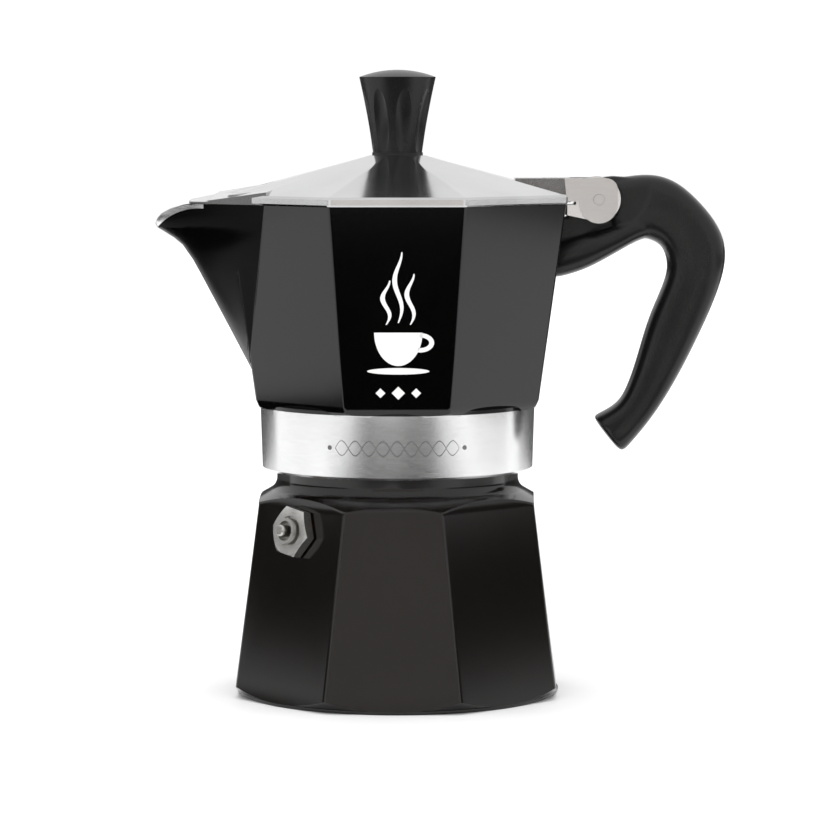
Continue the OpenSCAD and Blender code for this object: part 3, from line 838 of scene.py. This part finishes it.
@dataclass
class BandMark:
    """Plain running wave with end studs on the bare band."""

    radius: float = 0.0361
    height: float = 0.0678
    length: float = 33.0
    sway: float = 1.9
    waves: float = 4.5
    width: float = 0.5
    steps: int = 180
    stud: float = 0.6
    stud_gap: float = 1.6
    flare: float = 0.03

    def outlines(self) -> list[Outline]:
        """Draws two crossing waves and two studs.

        Returns:
            The closed outlines in millimetres.
        """
        marks: list[Outline] = []
        half = self.length / 2.0
        for sign in (-1.0, 1.0):
            wave = strand(self.length, self.sway * sign, self.waves, self.width, self.steps)
            marks.append([(w - half, u) for u, w in wave])
        for x in (-half - self.stud_gap, half + self.stud_gap):
            marks.append(arc(x, 0.0, self.stud, self.stud, 0.0, RING_END))
        return marks

    def build(self) -> None:
        """Builds the marks one by one and bends them round the band."""
        parts = [Print(f"band_mark_{k}").flat([o]) for k, o in enumerate(self.outlines())]
        pick(*parts)
        bpy.ops.object.join()
        piece = bpy.context.object
        piece.name = "band_mark"
        for vertex in piece.data.vertices:
            u, w, lift = vertex.co
            turn = u / self.radius
            reach = self.radius + lift + w * self.flare
            vertex.co = (reach * math.sin(turn), -reach * math.cos(turn), self.height + w)
        finish_piece(piece, "collector", GREY_PRINT)


@dataclass
class CollectorLook:
    """Cast collector with a coated body, painted shade on the spout, a bare band and a bare pouring lip."""

    band_top: float = FLAT_FOOT[1]
    lip_centre: tuple[float, float] = (-0.0515, 0.1127)
    lip_radius: float = 0.016
    lip_start: float = -0.0505
    lug_start: float = 0.0447
    # The leaning line beyond which the spout gets painted shade.
    spout_shade_lean: float = 0.11
    spout_shade_start: float = 0.0485
    # Width of the painted shade ring round the hinge pin's ends.
    shade_ring_width: float = 0.00035
    pin_end: float = 0.9
    core_radius: float = 0.034
    inner_z: float = 0.0775
    mask_edge: float = 0.5

    def above(self, sheet: NodeSheet, value: bpy.types.NodeSocket, limit: float) -> bpy.types.NodeSocket:
        """Gives 1 where a value is over a limit and 0 elsewhere.

        Args:
            sheet: The material's node sheet.
            value: The value socket.
            limit: The limit.

        Returns:
            The socket of ones and zeros.
        """
        node = sheet.add("ShaderNodeMath", operation="GREATER_THAN")
        node.inputs[1].default_value = limit
        sheet.link(value, node.inputs[0])
        return node.outputs["Value"]

    def both(self, sheet: NodeSheet, first: bpy.types.NodeSocket,
             second: bpy.types.NodeSocket, operation: str) -> bpy.types.NodeSocket:
        """Works out a third value from two.

        Args:
            sheet: The material's node sheet.
            first: The first value socket.
            second: The second value socket.
            operation: Blender's name of the operation.

        Returns:
            The socket of the result.
        """
        node = sheet.add("ShaderNodeMath", operation=operation)
        sheet.link(first, node.inputs[0])
        sheet.link(second, node.inputs[1])
        return node.outputs["Value"]

    def coat_with_spout_shade(self, sheet: NodeSheet) -> bpy.types.Node:
        """Coat of the eight sides, and on the spout a darker copy of the coat with almost no reflection as
        painted shade, split along a leaning line.

        Args:
            sheet: The material's node sheet.

        Returns:
            The shader node that mixes both.
        """
        lean = sheet.add("ShaderNodeVectorMath", operation="DOT_PRODUCT")
        lean.inputs[1].default_value = (-1.0, 0.0, self.spout_shade_lean)
        sheet.link(sheet.coordinates(EVEN), lean.inputs[0])
        blend = sheet.add("ShaderNodeMixShader")
        sheet.link(self.above(sheet, lean.outputs["Value"], self.spout_shade_start), blend.inputs["Fac"])
        sheet.link(BLACK_COAT.shader(sheet).outputs["BSDF"], blend.inputs[1])
        # The spout side of the line gets the painted shade: a darker copy of the coat with almost no
        # reflection.
        sheet.link(SPOUT_PAINTED_SHADE.shader(sheet).outputs["BSDF"], blend.inputs[2])
        return blend

    def coat(self) -> bpy.types.Material:
        """Coat outside above the band, with painted shade on the spout, bare metal on the band and on the
        pouring lip.

        Returns:
            The material with the coat and the bare metal, split by place.
        """
        sheet = NodeSheet("collector_finish")
        coat = self.coat_with_spout_shade(sheet)
        bare = BARE_TURNED.shader(sheet)
        place = sheet.add("ShaderNodeSeparateXYZ")
        sheet.link(sheet.coordinates(EVEN), place.inputs["Vector"])
        body = self.above(sheet, place.outputs["Z"], self.band_top)
        flat = sheet.add("ShaderNodeCombineXYZ")
        sheet.link(place.outputs["X"], flat.inputs["X"])
        sheet.link(place.outputs["Z"], flat.inputs["Z"])
        reach = sheet.add("ShaderNodeVectorMath", operation="DISTANCE")
        reach.inputs[1].default_value = (self.lip_centre[0], 0.0, self.lip_centre[1])
        sheet.link(flat.outputs["Vector"], reach.inputs[0])
        outside = self.above(sheet, reach.outputs["Value"], self.lip_radius)
        behind = self.above(sheet, place.outputs["X"], self.lip_start)
        below = sheet.add("ShaderNodeMath", operation="LESS_THAN")
        below.inputs[1].default_value = self.lip_centre[1]
        sheet.link(place.outputs["Z"], below.inputs[0])
        hidden = self.both(sheet, behind, below.outputs["Value"], "MAXIMUM")
        lip = self.both(sheet, outside, hidden, "SUBTRACT")
        lip_mask = self.above(sheet, lip, self.mask_edge)
        lug = self.above(sheet, place.outputs["X"], self.lug_start)
        bare_mask = self.both(sheet, lip_mask, lug, "MAXIMUM")
        coated = self.both(sheet, body, bare_mask, "SUBTRACT")
        blend = sheet.add("ShaderNodeMixShader")
        sheet.link(coated, blend.inputs["Fac"])
        sheet.link(bare.outputs["BSDF"], blend.inputs[1])
        sheet.link(coat.outputs["Shader"], blend.inputs[2])
        sheet.link(blend.outputs["Shader"], sheet.output.inputs["Surface"])
        return sheet.material

    def build(self) -> None:
        """Builds the collector and dresses the pieces pressed into it."""
        piece = cleaned("collector", CAST_EDGE)
        piece.data.materials.clear()
        piece.data.materials.append(self.coat())
        piece.data.materials.append(BARE_TURNED.material())
        for face in piece.data.polygons:
            face.material_index = int(self.is_inside(face))
        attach(piece, "collector")
        LOG.info("%s rides on %s in %s", piece.name, "collector", "coat and bare metal")
        dress("column", SPUN_METAL)
        dress("column_cap", SPUN_METAL)
        self.pin()

    def is_inside(self, face: bpy.types.MeshPolygon) -> bool:
        """Tells the bare inner faces of the collector from its coated outside."""
        core = math.hypot(face.center.x, face.center.y) < self.core_radius
        return face.center.z > self.inner_z and (core or faces_axis(face) or face.normal.z > UPWARD)

    def pin(self) -> None:
        """Builds the hinge pin with a painted shade ring round both of its ends: a dark metal in place of the
        shadow in the gap.
        """
        piece = cleaned("hinge_pin", PIN_EDGE)
        finish_piece(piece, "collector", LID_METAL)
        # Second slot: dark metal as painted shade, for the shadow in the gap round the pin's ends.
        piece.data.materials.append(PAINTED_SHADE_METAL.material())
        pick(piece)
        for face in piece.data.polygons:
            face.select = abs(face.normal.y) > self.pin_end
        bpy.ops.object.mode_set(mode="EDIT")
        bpy.context.tool_settings.mesh_select_mode = (False, False, True)
        bpy.ops.mesh.inset(thickness=self.shade_ring_width)
        bpy.ops.object.mode_set(mode="OBJECT")
        for face in piece.data.polygons:
            face.material_index = int(not face.select)


@dataclass
class BoilerLook:
    """Boiler with its valve, funnel and seals."""

    foot_z: float = 0.0025
    floor_z: float = 0.03
    neck_z: float = 0.0592

    def is_bare(self, face: bpy.types.MeshPolygon) -> bool:
        """Tells the bare inside and neck of the boiler from its coated outside.

        Args:
            face: The face.

        Returns:
            True for a bare face.
        """
        height = face.center.z
        wall = height > self.foot_z and faces_axis(face)
        return height > self.neck_z or wall or (height < self.floor_z and face.normal.z > UPWARD)

    def build(self) -> None:
        """Builds and dresses all pieces of the lower half."""
        boiler = cleaned("boiler", CAST_EDGE)
        finish_piece(boiler, "boiler", BOILER_COAT)
        boiler.data.materials.append(BARE_TURNED.material())
        for face in boiler.data.polygons:
            face.material_index = int(self.is_bare(face))
        finish_piece(cleaned("valve_body", CAST_EDGE), "boiler", VALVE_METAL)
        dress("valve_washer", SEAL_FIBRE)
        dress("valve_seat", VALVE_METAL)
        finish_piece(cleaned("valve_pin", CAST_EDGE), "valve_pin", PIN_METAL)
        finish_piece(cleaned("valve_spring", COIL_EDGE), "boiler", STEEL)
        finish_piece(cleaned("funnel", CAST_EDGE), "funnel", SPUN_METAL)
        dress("funnel_plate", SPUN_METAL)
        finish_piece(cleaned("gasket", CAST_EDGE), "gasket", SEAL_RUBBER)
        dress("filter_plate", SPUN_METAL)


@dataclass
class LidLook:
    """Lid with its knob and fixings."""

    cover_x: float = -0.0335
    block_x: tuple[float, float] = (0.03, 0.0452)
    floor_z: float = 0.13
    # How far a side must turn across to get the painted shade, on the cover and on the hinge block.
    cover_side: float = 0.12
    block_side: float = 0.95

    def is_painted_shade_side(self, centre: Vector, normal: Vector) -> bool:
        """Tells the sides of the cover and of the hinge block, which get a dark metal as painted shade, from
        the rest.

        Args:
            centre: Centre of a face.
            normal: Normal of the face.

        Returns:
            True for a face with painted shade.
        """
        if centre.z < self.floor_z:
            return False
        side = abs(normal.y)
        cover = centre.x < self.cover_x and side > self.cover_side
        block = self.block_x[0] < centre.x < self.block_x[1] and side > self.block_side
        return cover or block

    def build(self) -> None:
        """Builds and dresses all pieces of the lid."""
        lid = cleaned("lid", LID_EDGE)
        finish_piece(lid, "lid", LID_METAL)
        # Second slot: dark metal as painted shade on the sides of the cover and of the hinge block.
        lid.data.materials.append(PAINTED_SHADE_METAL.material())
        for face in lid.data.polygons:
            face.material_index = int(self.is_painted_shade_side(face.center, face.normal))
        finish_piece(cleaned("knob", CAST_EDGE), "lid", BLACK_PLASTIC)
        dress("knob_collar", BLACK_PLASTIC)
        dress("knob_screw", STEEL)
        dress("screw_washer", STEEL)


LYING: Point = (0.0, 0.0, 0.0)
UPRIGHT: Point = (90.0, 0.0, 0.0)
SIDEWAYS: Point = (90.0, 0.0, 90.0)
BLACK_CARD: Colour = (0.001, 0.001, 0.001)
DARK_CARD: Colour = (0.05, 0.05, 0.05)


@dataclass(frozen=True)
class CardPlan:
    """A card that only shows in reflections: its place, size, turn in degrees and colour."""

    name: str
    place: Point
    size: tuple[float, float]
    turn: Point = LYING
    shade: Colour = BLACK_CARD


@dataclass
class Studio:
    """Pale floor, soft lights and the camera."""

    distance: float = 0.967
    height: float = 0.157
    aim: Point = (0.0029, 0.0, 0.0752)
    lens: float = 161.0
    sensor: float = 36.0
    near: float = 0.01
    floor_size: float = 6.0
    sun_power: float = 2.0
    sun_spread: float = 70.0
    air: float = 1.02
    shade_step: float = 1.15
    cards: tuple[CardPlan, ...] = (
        CardPlan("card_front", (0.0, -0.32, 0.006), (0.5, 0.36)),
        CardPlan("card_camera", (0.0, -1.4, 0.3), (1.2, 0.5), UPRIGHT, (0.6, 0.56, 0.53)),
        CardPlan("card_grip", (0.21, -1.0, 0.006), (0.3, 0.6), LYING, DARK_CARD),
        CardPlan("card_left", (-0.5, -0.1, 0.073), (0.72, 0.064), SIDEWAYS),
        CardPlan("card_right", (0.5, -0.1, 0.073), (0.72, 0.064), SIDEWAYS),
        CardPlan("card_band", (0.0, -0.78, 0.003), (1.3, 0.5), LYING, (0.45, 0.45, 0.45)),
        CardPlan("card_band_right", (0.74, -0.1, 0.003), (0.36, 0.5), LYING, (0.2, 0.2, 0.2)),
        CardPlan("card_low_left", (-0.185, 0.06, 0.006), (0.17, 0.24)),
        CardPlan("card_back_left", (-0.28, 0.425, 0.06), (0.51, 0.18), (90.0, 0.0, 29.6), DARK_CARD),
        CardPlan("card_back_right", (0.28, 0.425, 0.06), (0.51, 0.18), (90.0, 0.0, -29.6), DARK_CARD))

    def floor(self) -> None:
        """Lays a wide pale floor under the pot."""
        deselect()
        bpy.ops.mesh.primitive_plane_add(size=self.floor_size, location=(0.0, 0.0, 0.0))
        floor = bpy.context.object
        floor.name = "floor"
        floor.data.materials.append(FLOOR_PAINT.material())

    def card(self, plan: CardPlan) -> None:
        """Stands a card that only shows in reflections.

        Args:
            plan: The card's place, size, turn and colour.
        """
        deselect()
        bpy.ops.mesh.primitive_plane_add(size=1.0, location=plan.place,
                                         rotation=[math.radians(a) for a in plan.turn])
        card = bpy.context.object
        card.name = plan.name
        card.scale = (*plan.size, 1.0)
        card.visible_camera = False
        card.visible_shadow = False
        card.visible_diffuse = False
        lighter = tuple(part * self.shade_step for part in plan.shade)
        paint = Finish(plan.name + "_paint", plan.shade, lighter, 0.9, 1.0, specular=0.0)
        card.data.materials.append(paint.material())

    def sun(self) -> None:
        """Adds a wide soft sun from above that keeps the floor white."""
        data = bpy.data.lights.new("sun_soft", "SUN")
        data.energy = self.sun_power
        data.angle = math.radians(self.sun_spread)
        sun = bpy.data.objects.new("sun_soft", data)
        sun.visible_glossy = False
        bpy.context.scene.collection.objects.link(sun)

    def world(self) -> None:
        """Sets an even pale surrounding."""
        world = bpy.data.worlds.new("studio")
        world.use_nodes = True
        background = world.node_tree.nodes["Background"]
        background.inputs["Color"].default_value = (1.0, 1.0, 1.0, 1.0)
        background.inputs["Strength"].default_value = self.air
        bpy.context.scene.world = world

    def camera(self) -> None:
        """Sets the camera in front of the pot."""
        data = bpy.data.cameras.new("camera")
        data.lens = self.lens
        data.sensor_width = self.sensor
        data.clip_start = self.near
        camera = bpy.data.objects.new("camera", data)
        bpy.context.scene.collection.objects.link(camera)
        camera.location = (self.aim[0], -self.distance, self.height)
        camera.rotation_euler = (Vector(self.aim) - camera.location).to_track_quat("-Z", "Y").to_euler()
        bpy.context.scene.camera = camera

    def build(self) -> None:
        """Builds floor, lights, cards and camera."""
        self.floor()
        self.world()
        for plan in self.cards:
            self.card(plan)
        self.sun()
        self.camera()
        bpy.context.scene.view_settings.view_transform = "Standard"


def main() -> None:
    """Builds the scene in order."""
    logging.basicConfig(level=logging.INFO, format="%(message)s")
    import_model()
    BoilerLook().build()
    CollectorLook().build()
    HandlePiece().build()
    CupMark().build()
    BandMark().build()
    LidLook().build()
    Studio().build()


if __name__ == "__main__":
    main()
